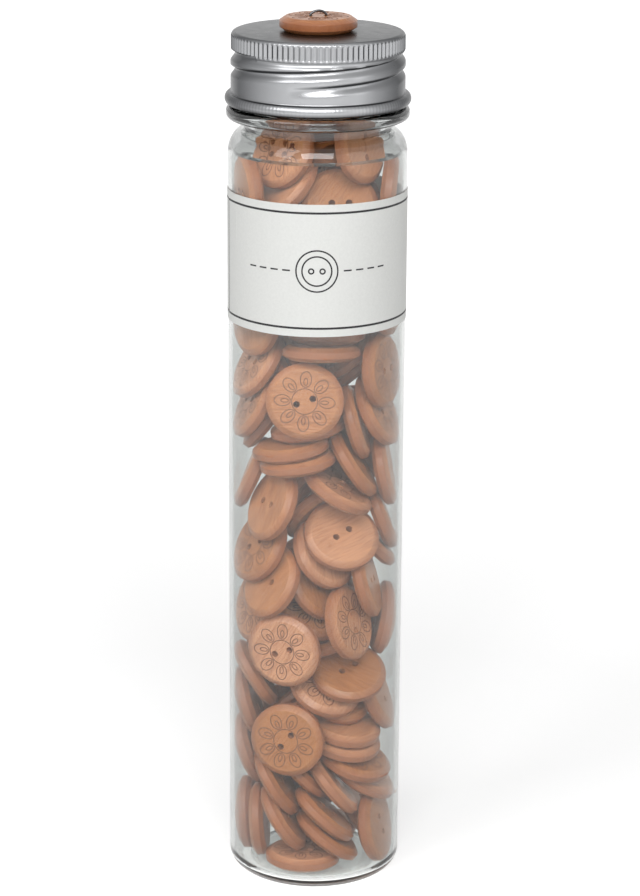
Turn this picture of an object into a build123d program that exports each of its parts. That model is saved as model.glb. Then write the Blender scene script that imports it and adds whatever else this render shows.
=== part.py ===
from build123d import *
import math
import os

import numpy as np

# A clear bottle full of loose two-hole buttons, closed by a metal screw cap that carries one button.
# The origin is on the bottle's axis, in the plane it stands on, with +Z up and the front towards -Y.

# Button sizes
button_diameter = 18.0
button_thickness = 3.4
button_rim = 1.5
button_bevel = 1.4
hole_diameter = 1.6
hole_spacing = 4.0
front_sides = 10
inner_sides = 6
hole_sides = 4
wire_hole_sides = 6
liner_sides = 48
corner_count = 2
shoulder_count = 3
arc_count = 4
edge_count = 2
roll_count = 4

# Bottle sizes
bottle_diameter = 42.0
bottle_wall = 1.0
body_height = 179.0
base_corner = 3.2
base_thickness = 1.6
inner_corner = 2.4
foot_inset = 5.5
foot_slope = 1.4
punt_depth = 0.9
shoulder_height = 5.6
shoulder_wall = 1.0
neck_inset = 3.9
neck_wall = 2.4
bead_overhang = 0.4
bead_height = 2.8
bead_lift = 2.4
bead_bevel = 0.8
finish_step = 0.7
finish_height = 15.4

# Cap sizes
cap_stand_off = 2.2
cap_wall = 0.4
cap_gap = 0.4
cap_edge = 1.1
roll_radius = 1.5
knurl_count = 96
knurl_height = 3.0
knurl_depth = 0.3
knurl_land = 0.05
waist_depth = 0.55
waist_height = 2.0

# Liner, label and wire sizes
liner_thickness = 1.5
liner_clearance = 0.15
liner_pocket_depth = 1.0
liner_pocket_clearance = 0.4
label_height = 31.0
label_drop = 8.3
label_thickness = 0.12
label_overlap = 14.0
label_seam = 194.0
wire_diameter = 0.8
wire_clearance = 0.15
wire_arch = 1.3
wire_tail = 2.2
wire_bend = 0.5
wire_sides = 6
cap_button_spin = 12.0

# Heap sizes
button_count = 120
heap_clearance = 0.12
heap_headroom = 13.0
inner_groups = 6
single_buttons = 28
settling_count = 900
settling_seed = 7
rim_count = 16
clear_buttons = 20
clear_give = 0.03
shown_give = 0.25
clear_pull = 0.2
shown_pull = 0.15
home_share = 0.8
start_size = 0.45
growth = 1.2
start_inset = 0.4
start_apart = 0.34
start_low = 0.3
start_high = 0.7
start_upward = 0.6
start_count = 20000
push_share = 0.45
pair_margin = 2.0
pair_count = 5
quick_count = 3
exact_count = 60
left_over = 0.6
short_count = 150
small_gap = 1e-3

# Heights and radii that follow from the sizes
bottle_radius = bottle_diameter / 2
bore_radius = bottle_radius - bottle_wall
foot_radius = bottle_radius - foot_inset
neck_radius = bottle_radius - neck_inset
mouth_radius = neck_radius - neck_wall
bead_radius = bottle_radius + bead_overhang
finish_radius = neck_radius + finish_step
cap_radius = finish_radius + cap_stand_off
label_bottom = body_height - label_drop - label_height
shoulder_top = body_height + shoulder_height
inner_shoulder = shoulder_height - shoulder_wall
foot_cut = inner_corner * (2 - math.sqrt(2))
bead_bottom = shoulder_top + bead_lift
bead_top = bead_bottom + bead_height
rim_height = bead_top + finish_height
cap_bottom = bead_top + cap_gap
panel_under = rim_height + liner_thickness
cap_top = panel_under + cap_wall
knurl_top = cap_top - cap_edge
knurl_bottom = knurl_top - knurl_height
heap_top = rim_height - heap_headroom
turn_ease = 4 / (button_diameter / 2)**2

# Places of the buttons that show through the front of the bottle, in the bottle as drawn: height of the
# centre, bearing round the axis from the front, distance from the axis, then the way the face looks, as
# a turn from the front and a lean above level, and last the spin of the two holes. To the right is plus.
drawn_bore = 20.0
drawn_top = 192.2
front_places = [
    (122, -10, 15.5, 2, 5, 20), (36, -24, 16.5, -9, 3, 52), (60, -28, 16, -22, 7, 22), (66, 38, 15.5, 36, 18, 82),
    (52, 47, 12, 8, 48, 30), (87, 35, 12, 10, 42, 27), (96, -50, 15, -38, 17, 0), (82, -72, 14, -42, 22, 40),
    (75, -45, 14.5, -39, 24, 0), (10, 69, 15.5, 61, 16, 97), (4, -19, 10.5, 180, 88, 0), (99, 31, 11, 84, 67, 0),
    (166, 15, 5, 0, 34, 60), (180, -57, 10, -37, 27, 5), (182, 60, 11, 52, 18, 80), (128, -78, 14.5, -48, 38, 0),
    (118, -75, 15.5, -63, 28, 15), (128, 67, 16.5, 55, 4, 0), (117, 76, 15, 59, 30, 20), (74, 66, 14.5, 56, 7, -10),
    (170, -72, 16.5, -64, 5, 0), (170, -62, 11, 95, 85, 0), (170, 83, 16.5, 84, 0, 0), (140, -69, 15, -52, 17, 0),
    (113, 57, 10, 72, 38, 0), (114, -16, 8, 114, 72, 0), (110, -37, 10, 159, 79, 0), (106, -28, 10, 140, 81, 0),
    (101, -87, 16, -85, 32, 0), (103, 52, 11, 81, 40, 0), (101, 79, 16.5, 79, 8, 0), (67, -69, 16, -68, 12, 0),
    (90, 81, 16.5, 75, 29, 0), (49, -80, 14, 90, 31, 0), (40, -90, 16, 84, 32, 0), (27, -94, 16, 84, 20, 0),
    (60, 73, 17, 73, 1, 0), (46, 76, 17, 76, 15, 0), (45, 60, 8, 14, 58, 0), (37, 49, 9.5, 0, 70, 0),
    (32, 47, 9.5, 0, 74, 0), (26, 53, 10.5, 40, 76, 0), (23, -43, 12, 98, 36, 0), (20, 26, 10, 96, 50, 0),
    (16, 11, 10, 99, 46, 0), (14, -34, 11.5, 93, 43, 0), (9, 17, 10, 77, 50, 0), (11, -74, 14.5, 87, 4, 0),
    (10, -81, 18, -81, 5, 0), (82, 25, 9, 23, 39, 0), (166, 50, 8, 20, 28, 0), (189, -6, 5, 0, 84, 0),
    (135, 26, 6, 180, 84, 0), (143, 72, 17, 59, 7, 0), (112, -87, 11, -76, 55, 0), (81, 88, 11, 98, 58, 0),
    (67, -9, 6, 0, 52, 0), (20, 70, 10, 60, 78, 0),
]


# Points of a quarter of an ellipse, from its side to its top or foot
def quarter_arc(across, up, wide, tall, count):
    turns = [math.pi / 2 * step / count for step in range(count + 1)]
    return [(across + wide * math.cos(turn), up + tall * math.sin(turn)) for turn in turns]


# Vectors of unit length, one in each row
def unit(rows):
    return rows / np.maximum(np.linalg.norm(rows, axis=-1, keepdims=True), small_gap)


# Nearest points to the given ones on flat discs
def onto_discs(points, centres, normals, reach):
    flat = points - centres
    flat = flat - normals * np.sum(flat * normals, axis=-1, keepdims=True)
    length = np.linalg.norm(flat, axis=-1, keepdims=True)
    return centres + flat * np.minimum(1.0, reach / np.maximum(length, small_gap))


# Points round the edge of each disc
def rim_points(centres, normals, reach):
    turns = np.linspace(0, 2 * np.pi, rim_count, endpoint=False)[None, :, None]
    side = unit(np.cross(normals, np.where(np.abs(normals[:, 2:]) < 0.9, [[0, 0, 1.0]], [[1.0, 0, 0]])))
    rims = np.cos(turns) * side[:, None] + np.sin(turns) * np.cross(normals, side)[:, None]
    return centres[:, None] + reach * rims


# Outline of the bore from the bottle's floor up to its mouth
bore_outline = [
    (bore_radius - foot_cut, base_thickness), (bore_radius, base_thickness + foot_cut),
    *quarter_arc(mouth_radius, body_height, bore_radius - mouth_radius, inner_shoulder, arc_count),
]


# Radius of the room inside the bottle at each height
def room_radius(heights):
    radii, levels = zip(*bore_outline)
    return np.interp(heights, levels, radii)


# Where the buttons start: the ones that show at their places, the others at random in the gaps
def starting_heap():
    table = np.array(front_places, float)
    bearing, turn, lean = (np.radians(table[:, column]) for column in (1, 3, 4))
    out = table[:, 2] * bore_radius / drawn_bore
    height = base_thickness + table[:, 0] * (heap_top - base_thickness) / drawn_top
    centres = np.c_[out * np.sin(bearing), -out * np.cos(bearing), height]
    normals = np.c_[np.cos(lean) * np.sin(turn), -np.cos(lean) * np.cos(turn), np.sin(lean)]
    chance = np.random.default_rng(settling_seed)
    spread = bore_radius - button_diameter * start_inset
    apart = button_diameter * start_apart
    low, high = base_thickness + button_diameter * start_low, heap_top - button_diameter * start_high
    tries = 0
    while len(centres) < button_count and tries < start_count:
        tries += 1
        out, angle = spread * math.sqrt(chance.random()), 2 * math.pi * chance.random()
        place = np.array([out * math.cos(angle), out * math.sin(angle), low + (high - low) * chance.random()])
        if np.min(np.linalg.norm(centres - place, axis=1)) > apart:
            centres = np.vstack([centres, place])
            normals = np.vstack([normals, unit(chance.normal(size=3) + np.array([0, 0, start_upward]))])
    return centres, normals


# Push that parts two touching points, shared between a move and a turn of each button
def share(moves, turns, counts, which, arms, ways, sizes):
    np.add.at(moves, which, sizes[:, None] * ways)
    np.add.at(turns, which, sizes[:, None] * turn_ease * np.cross(arms, ways))
    np.add.at(counts, which, 1)


# How readily a button gives way to a push at the end of an arm
def readiness(give, arms, ways):
    return give * (1 + turn_ease * np.sum(np.cross(arms, ways)**2, axis=1))


# Pairs of buttons that are near enough to touch, and where each first one comes nearest to its second
def near_pairs(centres, normals, rims, reach):
    distance = np.linalg.norm(centres[:, None] - centres[None], axis=2)
    first, second = np.where(np.triu(distance < button_diameter + heap_clearance + pair_margin, 1))
    edge, face = rims[first], rims[second]
    below_edge = onto_discs(edge, centres[second][:, None], normals[second][:, None], reach)
    below_face = onto_discs(face, centres[first][:, None], normals[first][:, None], reach)
    gaps = np.concatenate([edge - below_edge, face - below_face], axis=1)
    nearest = np.concatenate([edge, below_face], axis=1)
    best = np.linalg.norm(gaps, axis=2).argmin(axis=1)
    return first, second, nearest[np.arange(len(first)), best] - centres[first]


# Nearest points and distance of each pair, starting from an arm that is nearly right
def closest(centres, normals, first, second, arms, reach, rounds):
    near = centres[first] + arms
    for _ in range(rounds):
        far = onto_discs(near, centres[second], normals[second], reach)
        near = onto_discs(far, centres[first], normals[first], reach)
    return near, far, np.linalg.norm(near - far, axis=1)


# Let the buttons grow to their size and push each other and the walls until none overlap
def settle(centres, normals, steps, growing):
    home, facing = centres.copy(), normals.copy()
    every = np.arange(len(centres))
    clear, shown = every < clear_buttons, every < len(front_places)
    give = np.where(shown, np.where(clear & growing, clear_give, shown_give), 1.0)
    held = growing * np.where(clear, clear_pull, shown_pull * shown)[:, None]
    for step in range(steps):
        size = min(1.0, start_size + growth * step / steps) if growing else 1.0
        round_off = size * (button_thickness + heap_clearance) / 2
        reach = size * (button_diameter - button_thickness) / 2
        pull = held if step < home_share * steps else 0
        centres = centres + pull * (home - centres)
        normals = unit(normals + pull * (facing - normals))
        rims = rim_points(centres, normals, reach)
        if step % pair_count == 0:
            first, second, arms = near_pairs(centres, normals, rims, reach)
        near, far, gap = closest(centres, normals, first, second, arms, reach, quick_count)
        arms = near - centres[first]
        ways = unit(np.where(gap[:, None] > small_gap, near - far, centres[first] - centres[second]))
        tight = gap < 2 * round_off
        one, two, ways, overlap = first[tight], second[tight], ways[tight], 2 * round_off - gap[tight]
        one_arm, two_arm = arms[tight], far[tight] - centres[two]
        ease = readiness(give[one], one_arm, ways) + readiness(give[two], two_arm, ways)
        moves, turns, counts = np.zeros_like(centres), np.zeros_like(centres), np.zeros(len(centres))
        share(moves, turns, counts, one, one_arm, ways, overlap * give[one] / ease)
        share(moves, turns, counts, two, two_arm, -ways, overlap * give[two] / ease)
        radius = np.maximum(np.hypot(rims[..., 0], rims[..., 1]), small_gap)
        inward = np.stack([-rims[..., 0] / radius, -rims[..., 1] / radius, 0 * radius], axis=2)
        up = np.zeros_like(rims) + [0, 0, 1.0]
        walls = [
            (radius - room_radius(rims[..., 2]) + round_off, inward),
            (base_thickness + round_off - rims[..., 2], up),
            (rims[..., 2] - heap_top + round_off, -up),
        ]
        for depth, way in walls:
            worst = depth.argmax(axis=1)
            out = depth[every, worst] > 0
            arm = rims[every, worst][out] - centres[out]
            push = way[every, worst][out]
            ease = readiness(1.0, arm, push)
            share(moves, turns, counts, every[out], arm, push, depth[every, worst][out] / ease)
        shared = 1 / np.maximum(1, push_share * counts)[:, None]
        centres = centres + moves * shared
        normals = unit(normals + np.cross(turns * shared, normals))
    return centres, normals


# Overlap left at each button once they have their full size
def overlaps(centres, normals):
    reach, round_off = (button_diameter - button_thickness) / 2, (button_thickness + heap_clearance) / 2
    rims = rim_points(centres, normals, reach)
    first, second, arms = near_pairs(centres, normals, rims, reach)
    gap = closest(centres, normals, first, second, arms, reach, exact_count)[2]
    worst = np.zeros(len(centres))
    np.maximum.at(worst, first, 2 * round_off - gap)
    np.maximum.at(worst, second, 2 * round_off - gap)
    return worst


# Heap without overlaps: a hidden button that finds no room is left out
def make_heap():
    centres, normals = settle(*starting_heap(), settling_count, True)
    worst = overlaps(centres, normals)
    while worst.max() > left_over * heap_clearance:
        hidden = worst[len(front_places):]
        if len(hidden) and hidden.max() > left_over * heap_clearance:
            keep = np.arange(len(centres)) != len(front_places) + hidden.argmax()
            centres, normals = centres[keep], normals[keep]
        centres, normals = settle(centres, normals, short_count, False)
        worst = overlaps(centres, normals)
    return centres, normals


heap_centres, heap_normals = make_heap()


# Plane of each button in the heap: its face looks along the normal and its holes lie along the X direction
def button_planes():
    planes = []
    for index, (centre, normal) in enumerate(zip(heap_centres, heap_normals)):
        level = np.cross([0, 0, 1.0], normal)
        level = level / np.linalg.norm(level)
        rise = np.cross(normal, level)
        spin = math.radians(front_places[index][5]) if index < len(front_places) else 0.0
        across = math.cos(spin) * level + math.sin(spin) * rise
        planes.append(Plane(origin=tuple(centre), x_dir=tuple(across), z_dir=tuple(normal)))
    return planes


os.makedirs("parts", exist_ok=True)
bevel_rise = (button_thickness - button_rim) / 2
bevel_angle = math.degrees(math.atan2(button_bevel, bevel_rise))

# Bevelled upper part of a button
with BuildPart() as bevel_blank:
    with BuildSketch(Plane.XY.offset(button_rim / 2)):
        RegularPolygon(radius=button_diameter / 2, side_count=front_sides)
    extrude(amount=bevel_rise, taper=bevel_angle)

# Turned wooden button: a straight rim band between two bevelled faces
with BuildPart() as button_blank:
    with BuildSketch(Plane.XY.offset(-button_rim / 2)):
        RegularPolygon(radius=button_diameter / 2, side_count=front_sides)
    extrude(amount=button_rim)
    add(bevel_blank.part)
    add(bevel_blank.part, rotation=(180, 0, 0))
    with BuildSketch(Plane.XY.offset(-button_thickness)):
        with GridLocations(hole_spacing, 0, 2, 1):
            RegularPolygon(radius=hole_diameter / 2, side_count=hole_sides)
    extrude(amount=2 * button_thickness, mode=Mode.SUBTRACT)

# The same button with fewer faces, for the inside of the heap
with BuildPart() as inner_blank:
    with BuildSketch():
        RegularPolygon(radius=button_diameter / 2, side_count=inner_sides)
    extrude(amount=button_thickness / 2, taper=math.degrees(math.atan2(button_bevel, button_thickness / 2)))
    mirror(about=Plane.XY)

# Buttons that show at the front, one by one
planes = button_planes()
for number, plane in enumerate(planes[:single_buttons], start=1):
    with BuildPart() as button:
        with Locations(plane):
            add(button_blank.part)
    button.part.label = f"button_{number:02d}"
    export_step(button.part, f"parts/button_{number:02d}.step")

# The rest of the heap, in layers from the bottom up
rest = sorted(range(single_buttons, len(planes)), key=lambda index: heap_centres[index][2])
for group in range(inner_groups):
    start, stop = (round(len(rest) * share_end / inner_groups) for share_end in (group, group + 1))
    members = rest[start:stop]
    with BuildPart() as layer:
        with Locations(*[planes[index] for index in members]):
            add(inner_blank.part)
    layer.part.label = f"buttons_inner_{group + 1}"
    export_step(layer.part, f"parts/buttons_inner_{group + 1}.step")

# Blown bottle with a standing ring, a rounded shoulder, a neck, a support bead and the cap's seat
base_arc = quarter_arc(bottle_radius - base_corner, base_corner, base_corner, -base_corner, corner_count)
shoulder_arc = quarter_arc(neck_radius, body_height, bottle_radius - neck_radius, shoulder_height, shoulder_count)
with BuildPart() as bottle:
    with BuildSketch(Plane.XZ):
        with BuildLine():
            outside = Polyline(
                (0, punt_depth), (foot_radius - foot_slope, punt_depth), (foot_radius, 0), *reversed(base_arc),
                *shoulder_arc, (neck_radius, bead_bottom), (bead_radius - bead_bevel, bead_bottom),
                (bead_radius, bead_bottom + bead_bevel), (bead_radius, bead_top - bead_bevel),
                (bead_radius - bead_bevel, bead_top), (finish_radius, bead_top), (finish_radius, rim_height),
                (mouth_radius, rim_height),
            )
            bore = Polyline(
                outside @ 1, *reversed(bore_outline), (0, base_thickness), (0, punt_depth),
            )
        make_face()
    revolve(axis=Axis.Z)
bottle.part.label = "bottle"
export_step(bottle.part, "parts/bottle.step")

# Paper label wrapped right round the body, its outer end lying over its inner end
with BuildPart() as label:
    with BuildSketch(Plane.XY.offset(label_bottom)):
        Circle(bottle_radius + label_thickness)
        Circle(bottle_radius, mode=Mode.SUBTRACT)
    extrude(amount=label_height)
    with BuildSketch(Plane.XY.offset(label_bottom)):
        with BuildLine():
            under = CenterArc((0, 0), bottle_radius + label_thickness, label_seam, label_overlap)
            over = CenterArc((0, 0), bottle_radius + 2 * label_thickness, label_seam, label_overlap)
            Line(under @ 0, over @ 0)
            Line(under @ 1, over @ 1)
        make_face()
    extrude(amount=label_height)
label.part.label = "label"
export_step(label.part, "parts/label.step")

# Drawn metal cap: flat panel, knurled band, waist under it, skirt and outward rolled edge
skirt_radius = cap_radius + cap_wall / 2
waist_radius = cap_radius - waist_depth
roll_height = cap_bottom + roll_radius
band_radius = cap_radius - knurl_depth - knurl_land
wire_hole_radius = (wire_diameter / 2 + wire_clearance) / math.cos(math.pi / wire_hole_sides)
panel_edge = quarter_arc(band_radius - cap_edge, knurl_top, cap_edge, cap_edge, edge_count)
rolled_edge = []
for step in range(roll_count + 1):
    turn = math.pi / 2 - math.pi * step / roll_count
    rolled_edge.append((skirt_radius + roll_radius * math.cos(turn), roll_height + roll_radius * math.sin(turn)))
with BuildPart() as cap:
    with BuildSketch(Plane.XZ):
        with BuildLine():
            side = Polyline(
                (0, cap_top), *reversed(panel_edge), (band_radius, knurl_bottom),
                (waist_radius, knurl_bottom - waist_height / 2), (skirt_radius, knurl_bottom - waist_height),
                *rolled_edge,
            )
            inside = Polyline(
                side @ 1, (skirt_radius - cap_wall, cap_bottom),
                (skirt_radius - cap_wall, knurl_bottom - waist_height),
                (waist_radius - cap_wall, knurl_bottom - waist_height / 2), (waist_radius - cap_wall, panel_under),
                (0, panel_under), (0, cap_top),
            )
        make_face()
    revolve(axis=Axis.Z)
    with BuildSketch(Plane.XY.offset(knurl_bottom)):
        with BuildLine():
            ridges = []
            for tooth in range(knurl_count):
                for step, radius in ((0, cap_radius), (0.5, cap_radius - knurl_depth)):
                    angle = 2 * math.pi * (tooth + step) / knurl_count
                    ridges.append((radius * math.cos(angle), radius * math.sin(angle)))
            Polyline(*ridges, close=True)
        make_face()
        Circle(band_radius - cap_wall / 2, mode=Mode.SUBTRACT)
    extrude(amount=knurl_height)
    with BuildSketch(Plane.XY.offset(panel_under).rotated((0, 0, cap_button_spin))):
        with GridLocations(hole_spacing, 0, 2, 1):
            RegularPolygon(radius=wire_hole_radius, side_count=wire_hole_sides)
    extrude(amount=cap_wall, mode=Mode.SUBTRACT)
cap.part.label = "cap"
export_step(cap.part, "parts/cap.step")

# Soft liner disc between the cap's panel and the bottle's rim, with a pocket for the wire's ends
pocket_radius = hole_spacing / 2 + wire_tail + wire_diameter / 2 + liner_pocket_clearance
with BuildPart() as liner:
    with BuildSketch(Plane.XY.offset(rim_height)):
        RegularPolygon(radius=waist_radius - cap_wall - liner_clearance, side_count=liner_sides)
    extrude(amount=liner_thickness)
    with BuildSketch(Plane.XY.offset(panel_under)):
        RegularPolygon(radius=pocket_radius, side_count=front_sides)
    extrude(amount=-liner_pocket_depth, mode=Mode.SUBTRACT)
liner.part.label = "cap_liner"
export_step(liner.part, "parts/cap_liner.step")

# Button tied to the middle of the cap
cap_face = Plane.XY.offset(cap_top + button_thickness / 2).rotated((0, 0, cap_button_spin))
with BuildPart() as cap_button:
    with Locations(cap_face):
        add(button_blank.part)
cap_button.part.label = "cap_button"
export_step(cap_button.part, "parts/cap_button.step")

# Wire staple that ties the button down: an arch over it, two legs, and two ends bent out under the panel
leg = hole_spacing / 2
arch_top = cap_top + button_thickness + wire_arch
tail_height = panel_under - wire_diameter / 2
wire_plane = Plane.XZ.rotated((0, 0, cap_button_spin))
with BuildPart() as wire:
    with BuildLine(wire_plane):
        path = Polyline(
            (-leg - wire_tail, tail_height), (-leg, tail_height), (-leg, arch_top - wire_bend),
            (wire_bend - leg, arch_top), (leg - wire_bend, arch_top), (leg, arch_top - wire_bend),
            (leg, tail_height), (leg + wire_tail, tail_height),
        )
    with BuildSketch(Plane(origin=path @ 0, z_dir=path % 0)):
        RegularPolygon(radius=wire_diameter / 2, side_count=wire_sides)
    sweep(transition=Transition.RIGHT)
wire.part.label = "cap_wire"
export_step(wire.part, "parts/cap_wire.step")
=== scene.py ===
"""Clear bottle of wooden buttons with a metal screw cap: the detailed looks around the packed frame."""

import math

import bmesh
import bpy
import numpy as np
from bpy.props import FloatProperty, FloatVectorProperty, IntProperty, PointerProperty, StringProperty
from mathutils import Matrix, Vector


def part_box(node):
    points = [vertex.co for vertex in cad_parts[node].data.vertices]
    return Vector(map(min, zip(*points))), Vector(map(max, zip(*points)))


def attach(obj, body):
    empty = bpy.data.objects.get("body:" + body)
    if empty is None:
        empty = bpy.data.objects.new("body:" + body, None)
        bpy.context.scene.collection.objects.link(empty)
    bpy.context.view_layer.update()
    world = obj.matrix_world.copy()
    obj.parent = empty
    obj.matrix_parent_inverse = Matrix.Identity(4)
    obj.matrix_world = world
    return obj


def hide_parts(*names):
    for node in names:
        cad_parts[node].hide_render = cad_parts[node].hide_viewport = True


bl_info = {
    "name": "Bottle of buttons",
    "version": (1, 0, 0),
    "blender": (4, 5, 0),
    "location": "View3D > Sidebar > Buttons",
    "description": "Builds the bottle, its buttons, label and screw cap, and the studio around them",
    "category": "Object",
}

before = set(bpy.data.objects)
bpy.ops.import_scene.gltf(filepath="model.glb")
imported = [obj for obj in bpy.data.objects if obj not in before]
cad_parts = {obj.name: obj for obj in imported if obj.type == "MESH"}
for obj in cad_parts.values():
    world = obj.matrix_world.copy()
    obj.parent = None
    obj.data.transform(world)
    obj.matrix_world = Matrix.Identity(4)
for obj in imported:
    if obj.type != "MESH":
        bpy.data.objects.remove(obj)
MM = 1000.0

# Corners of the frame's parts, and what follows from them, in millimetres
BOTTLE_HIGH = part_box("bottle")[1] * MM
CAP_LOW, CAP_HIGH = (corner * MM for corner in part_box("cap"))
LABEL_LOW, LABEL_HIGH = (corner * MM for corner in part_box("label"))
LINER_LOW, LINER_HIGH = (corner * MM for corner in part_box("cap_liner"))
TIE_LOW, TIE_HIGH = (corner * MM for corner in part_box("cap_wire"))
RIM_HEIGHT = BOTTLE_HIGH.z
PAPER = 0.12
BODY_RADIUS = -LABEL_LOW.y - PAPER

# Heights between which the cap's two rolled grooves climb, and the bearings at which they start
GROOVE_LOW, GROOVE_HIGH = 195.9, 202.6
GROOVE_STARTS = (-math.radians(200), -math.radians(20))

# How far engraved and printed lines lie above their face, and how near doubled corners are
ENGRAVED_LIFT = 0.02
PRINTED_LIFT = 0.015
TOUCHING = 1e-4


def length(name, description, default):
    """A length property in metres, from millimetres."""
    return FloatProperty(
        name=name, description=description, default=default / MM, min=0.0, unit="LENGTH", precision=5
    )


def colour(name, description, default):
    """A colour property."""
    return FloatVectorProperty(
        name=name, description=description, default=default, size=3, min=0, max=1, subtype="COLOR"
    )


def angle(name, description, default):
    """An angle property, from radians."""
    return FloatProperty(name=name, description=description, default=default, unit="ROTATION")


class ButtonSettings(bpy.types.PropertyGroup):
    """Sizes and colours of the wooden buttons."""

    diameter: length("Diameter", "Outside diameter of a button", 18.0)
    thickness: length("Thickness", "Greatest thickness of a button", 3.4)
    rim: length("Rim", "Height of the straight band round the edge", 1.5)
    bevel: length("Bevel", "Width of the bevel on each face", 1.4)
    edge_round: length("Edge round", "Radius of the rounded edges of a bevel", 0.12)
    hole_diameter: length("Hole", "Diameter of a sewing hole", 1.6)
    hole_spacing: length("Hole spacing", "Distance between the two sewing holes", 4.0)
    line_width: length("Line", "Width of an engraved line", 0.21)
    ring: length("Ring", "Radius of the engraved ring round the holes", 3.1)
    petals: IntProperty(name="Petals", description="Petals of the engraved flower", default=8, min=3)
    petal_place: length("Petal place", "Distance out to the middle of a petal", 5.15)
    petal_length: length("Petal length", "Half the length of a petal", 1.95)
    petal_width: length("Petal width", "Half the width of a petal", 1.4)
    bud_place: length("Bud place", "Distance out to the middle of the small loop in a petal", 4.6)
    bud_length: length("Bud length", "Half the length of that loop", 1.0)
    bud_width: length("Bud width", "Half the width of that loop", 0.55)
    engraved: StringProperty(
        name="Engraved",
        description="Numbers of the buttons that show their engraved face",
        default="1 2 3 4 8 11 12 13 14 16 17 18 19",
    )
    light: colour("Light wood", "Colour of the pale grain", (0.555, 0.244, 0.107))
    dark: colour("Dark wood", "Colour of the dark grain", (0.355, 0.134, 0.052))
    # Rim colour: the redder end grain, also made darker as painted shade on the rim.
    rim_tint: colour("Rim", "Colour of the wood round the edge", (0.30, 0.098, 0.038))
    burnt: colour("Engraving", "Colour of the burnt lines", (0.08, 0.026, 0.011))


class BottleSettings(bpy.types.PropertyGroup):
    """Sizes and colour of the clear bottle."""

    wall: length("Wall", "Thickness of the wall", 1.0)
    body_height: length("Body height", "Height of the straight wall", 179.0)
    shoulder: length("Shoulder", "Height of the rounded shoulder", 5.6)
    base_corner: length("Base corner", "Radius round the foot", 3.2)
    foot_inset: length("Foot inset", "How far the standing ring lies inside the wall", 5.5)
    foot_slope: length("Foot slope", "Width of the slope inside the standing ring", 1.4)
    inner_corner: length("Inner corner", "Radius inside the foot", 2.3)
    inner_shoulder: length("Inner shoulder", "Radius inside the shoulder", 4.4)
    punt: length("Punt", "How far the middle of the base is raised", 0.9)
    neck_inset: length("Neck inset", "How far the neck lies inside the wall", 3.9)
    neck_wall: length("Neck wall", "Thickness of the neck", 2.4)
    bead_lift: length("Bead lift", "Distance from the shoulder up to the support bead", 2.4)
    bead_height: length("Bead height", "Height of the support bead", 2.8)
    bead_round: length("Bead round", "Radius of the support bead's edges", 1.1)
    edge_round: length("Edge round", "Radius of the small rounds at the foot, neck and rim", 0.5)
    finish_step: length("Finish step", "How much wider the threaded part is than the neck", 0.7)
    thread_start: length("Thread start", "Height of the threads' lower ends above the support bead", 3.6)
    thread_lift: length("Thread lift", "How far the thread stands out of the neck", 0.6)
    thread_width: length("Thread width", "Half the width of the thread's foot", 0.9)
    thread_turns: FloatProperty(name="Thread turns", description="Turns of each thread", default=1.25, min=0)
    clear: colour("Plastic", "Tint of the clear plastic", (0.76, 0.78, 0.77))
    # Neck tint: the thicker plastic's deeper colour, and painted shade from the cap and bead above.
    neck_tint_and_shade: colour("Neck tint", "Tint of the thicker plastic from the shoulder up", (0.56, 0.575, 0.57))
    # Painted reflection: the plastic's mirror shine is painted weaker above the label than below it.
    neck_shine: colour("Neck shine", "Strength of the mirror shine above the label", (0.35, 0.35, 0.35))
    # Painted shade: the plastic is darkened where it is seen edge-on, standing in for darker surroundings seen
    # in its edges.
    edge: colour("Plastic edge", "Tint of the clear plastic where it is seen edge-on", (0.29, 0.295, 0.285))


class LabelSettings(bpy.types.PropertyGroup):
    """Sizes and colours of the paper label."""

    rule_inset: length("Rule inset", "Distance from the label's edges to its printed rules", 2.0)
    rule_width: length("Rule width", "Width of a printed rule", 0.5)
    motif: length("Motif", "Radius of the printed line button", 5.0)
    stitches: IntProperty(name="Stitches", description="Printed stitches at each side of it", default=4, min=0)
    stitch: length("Stitch", "Length of a stitch", 1.9)
    stitch_step: length("Stitch step", "Distance from one stitch to the next", 3.0)
    stitch_gap: length("Stitch gap", "Distance from the motif to the middle of the first stitch", 2.2)
    seam: angle("Seam", "Bearing of the loose end", -1.3265)
    lap: angle("Lap", "How far the ends lie over each other", 0.2443)
    paper: colour("Paper", "Colour of the paper", (0.71, 0.716, 0.695))
    ink: colour("Ink", "Colour of the printed rules", (0.012, 0.011, 0.013))


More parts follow.
